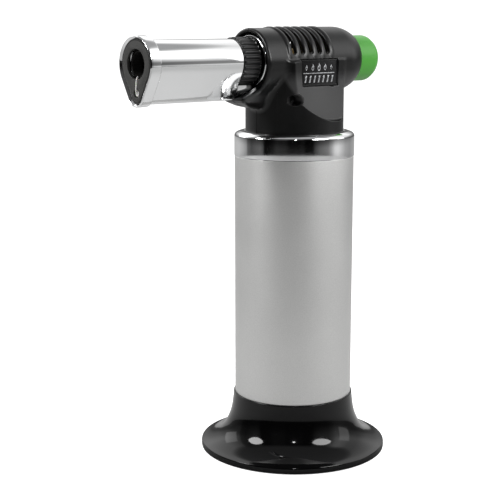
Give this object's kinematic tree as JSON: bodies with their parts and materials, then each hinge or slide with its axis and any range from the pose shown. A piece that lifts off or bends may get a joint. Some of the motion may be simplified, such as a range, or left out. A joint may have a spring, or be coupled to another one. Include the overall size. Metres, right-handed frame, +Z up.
{
  "type": "butane torch",
  "caption": "Bench butane torch with a round flared base, upright satin gas tank, black moulded head, teardrop chrome burner nozzle, fluted gas ring and green ignition button.",
  "frame": {"origin": "centre of the base's flat underside, on the tank's axis", "axes": "+Z up along the tank; the burner axis is parallel to X, the nozzle points to -X and the ignition button to +X; +Y is across the torch"},
  "size_m": [0.1355, 0.089, 0.2019],
  "materials": {
    "base_plastic": "gloss black moulded plastic",
    "tank_aluminium": "satin silver, fine blasted grain",
    "chrome": "polished chrome plate",
    "head_plastic": "black moulded plastic with a fine satin texture",
    "button_plastic": "leaf green moulded plastic, satin",
    "face_enamel": "dark grey heat-resistant enamel",
    "ceramic": "off-white ceramic",
    "brass": "turned brass",
    "steel": "plain steel",
    "rubber": "black rubber",
    "ivory_plastic": "natural ivory plastic",
    "plate_metal": "dark anodised plate with silver raised marks",
    "lead_insulation": "red wire insulation"
  },
  "bodies": {
    "stand": {"base": "base_plastic"},
    "torch": {"tank_shell": "tank_aluminium", "tank_bottom_cap": "tank_aluminium", "tank_bottom_oring": "rubber", "tank_top_cap": "tank_aluminium", "tank_top_oring": "rubber", "collar": "chrome", "refill_valve_body": "brass", "refill_gasket": "rubber", "refill_lock_nut": "brass", "refill_spring": "steel", "pickup_tube": "ivory_plastic", "valve_lock_nut": "brass", "valve_block": "brass", "gland_nut": "brass", "burner_elbow": "brass", "gas_jet": "brass", "burner_tube": "steel", "flame_holder": "brass", "nozzle_sleeve": "chrome", "nozzle_bezel": "chrome", "face_plate": "face_enamel", "sleeve_bulkhead": "steel", "electrode_insulator": "ceramic", "electrode_wire": "steel", "burner_mount_plate": "chrome", "piezo_body": "head_plastic", "ground_strap": "steel", "ignition_lead": "lead_insulation", "head_shell_left": "head_plastic", "head_shell_right": "head_plastic", "head_screw_front": "steel", "head_screw_rear": "steel", "name_plate": "plate_metal"},
    "refill": {"refill_stem": "brass"},
    "ring": {"control_ring": "head_plastic", "control_gear": "ivory_plastic"},
    "spindle": {"valve_spindle": "brass"},
    "button": {"ignition_button": "button_plastic", "piezo_plunger": "ivory_plastic", "button_return_spring": "steel"}
  },
  "joints": [
    {"name": "torch_lift", "type": "slide", "parent": "stand", "child": "torch", "axis": [0, 0, 1], "range_m": [0, 0.026]},
    {"name": "gas_ring", "type": "hinge", "parent": "torch", "child": "ring", "pos_m": [-0.033, 0, 0.1865], "axis": [1, 0, 0], "range_deg": [0, 150]},
    {"name": "valve_turn", "type": "hinge", "parent": "torch", "child": "spindle", "pos_m": [-0.012, 0, 0.17195], "axis": [1, 0, 0], "range_deg": [-300, 0]},
    {"name": "button_press", "type": "slide", "parent": "torch", "child": "button", "axis": [-1, 0, 0], "range_m": [0, 0.005], "stiffness_N_per_m": 600, "springref_m": -0.002},
    {"name": "refill_press", "type": "slide", "parent": "torch", "child": "refill", "axis": [0, 0, 1], "range_m": [0, 0.0015], "stiffness_N_per_m": 150, "springref_m": -0.0005, "deforming": ["refill_spring"]}
  ],
  "couplings": [
    {"joint": "valve_turn", "follows": "gas_ring", "ratio": -2}
  ]
}
